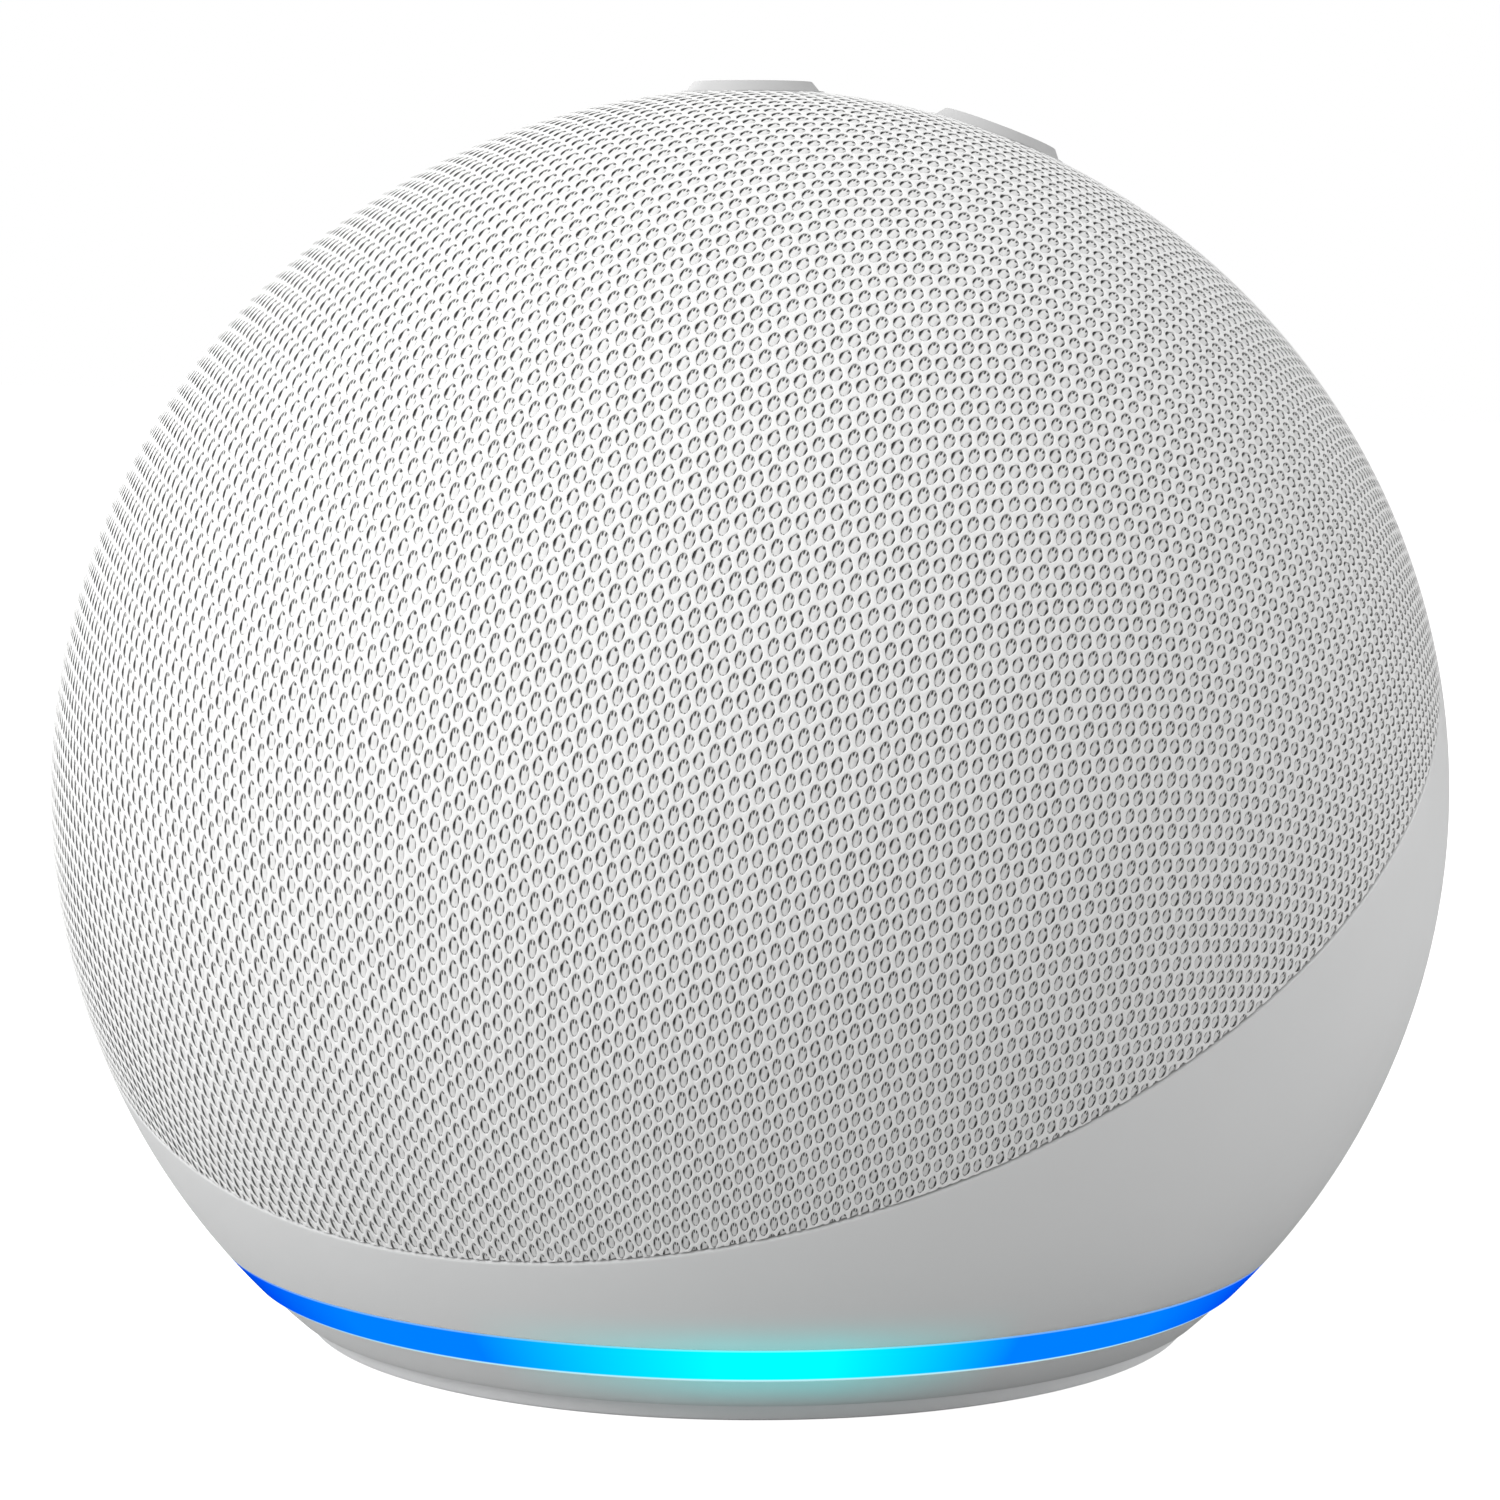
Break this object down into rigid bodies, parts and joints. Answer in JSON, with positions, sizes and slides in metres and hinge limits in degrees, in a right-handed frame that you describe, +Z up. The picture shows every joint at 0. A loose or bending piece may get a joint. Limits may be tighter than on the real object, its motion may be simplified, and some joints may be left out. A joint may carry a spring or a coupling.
{
  "type": "smart speaker",
  "caption": "Small spherical smart speaker: knitted cover over the front and top, plain plastic back, light ring above a flat rubber foot, round push buttons on top.",
  "frame": {"origin": "centre of the rubber foot's flat underside, which is the middle of the footprint", "axes": "+Z up, -Y towards the front where the knit reaches lowest, +X to the right when seen from the front"},
  "size_m": [0.1, 0.1, 0.0889],
  "materials": {
    "knit": "open warp knit of matt white yarn",
    "shell": "satin light grey moulding",
    "grille": "matt grey moulding",
    "light_ring": "translucent diffuser, lit cyan at the front and blue round the sides",
    "collar": "satin light grey moulding",
    "foot": "matt light grey rubber",
    "button": "satin pale grey caps",
    "tinned_steel": "tinned sheet",
    "silicone": "matt white silicone",
    "flex": "amber flexible circuit",
    "black_plastic": "fine moulded texture",
    "lead_black": "black insulation",
    "lead_red": "red insulation",
    "circuit_board": "green solder mask",
    "reflector": "white reflector",
    "led": "pale encapsulant",
    "thermal_pad": "grey filled silicone",
    "heat_sink": "plain extruded aluminium",
    "screw": "zinc plated",
    "foam": "closed-cell foam",
    "basket": "black painted pressing",
    "surround": "butyl half roll",
    "cone": "treated paper cone",
    "copper": "enamelled copper winding",
    "spider": "impregnated cotton",
    "magnet_steel": "plated steel",
    "ferrite": "sintered ferrite"
  },
  "bodies": {
    "housing": {"knit_cover": "knit", "lower_shell": "shell", "grille_dome": "grille", "light_ring": "light_ring", "bottom_cover": "collar", "rubber_foot": "foot", "dome_switch_front": "tinned_steel", "dome_switch_right": "tinned_steel", "dome_switch_rear": "tinned_steel", "dome_switch_left": "tinned_steel", "microphone_left": "tinned_steel", "microphone_right": "tinned_steel", "shield_can_processor": "tinned_steel", "shield_can_radio": "tinned_steel", "keypad": "silicone", "button_flex": "flex", "button_ribbon": "flex", "button_support": "black_plastic", "chassis": "black_plastic", "power_inlet": "black_plastic", "front_baffle": "black_plastic", "rear_chamber": "black_plastic", "speaker_lead_negative": "lead_black", "speaker_lead_positive": "lead_red", "light_board": "circuit_board", "main_board": "circuit_board", "antenna_left": "circuit_board", "antenna_right": "circuit_board", "light_reflector": "reflector", "ring_led_1": "led", "ring_led_2": "led", "ring_led_3": "led", "ring_led_4": "led", "ring_led_5": "led", "ring_led_6": "led", "thermal_pad": "thermal_pad", "heat_sink": "heat_sink", "bottom_screw_1": "screw", "bottom_screw_2": "screw", "bottom_screw_3": "screw", "bottom_screw_4": "screw", "driver_screw_1": "screw", "driver_screw_2": "screw", "driver_screw_3": "screw", "driver_screw_4": "screw", "driver_gasket": "foam", "driver_basket": "basket", "surround": "surround", "spider": "spider", "top_plate": "magnet_steel", "yoke": "magnet_steel", "magnet": "ferrite"},
    "button_front": {"button_front": "button"},
    "button_right": {"button_right": "button"},
    "button_rear": {"button_rear": "button"},
    "button_left": {"button_left": "button"},
    "moving_cone": {"cone": "cone", "dust_cap": "cone", "voice_coil": "copper"}
  },
  "joints": [
    {"name": "press_front", "type": "slide", "parent": "housing", "child": "button_front", "axis": [0, 0, -1], "range_m": [0, 0.0005], "stiffness_N_per_m": 2500, "springref_m": -0.0001},
    {"name": "press_right", "type": "slide", "parent": "housing", "child": "button_right", "axis": [-0.295, -0.19, -0.9364], "range_m": [0, 0.0005], "stiffness_N_per_m": 2500, "springref_m": -0.0001},
    {"name": "press_rear", "type": "slide", "parent": "housing", "child": "button_rear", "axis": [0, -0.38, -0.925], "range_m": [0, 0.0005], "stiffness_N_per_m": 2500, "springref_m": -0.0001},
    {"name": "press_left", "type": "slide", "parent": "housing", "child": "button_left", "axis": [0.295, -0.19, -0.9364], "range_m": [0, 0.0005], "stiffness_N_per_m": 2500, "springref_m": -0.0001},
    {"name": "cone_travel", "type": "slide", "parent": "housing", "child": "moving_cone", "axis": [0, -0.9397, 0.342], "range_m": [-0.0015, 0.0015], "stiffness_N_per_m": 1500}
  ]
}
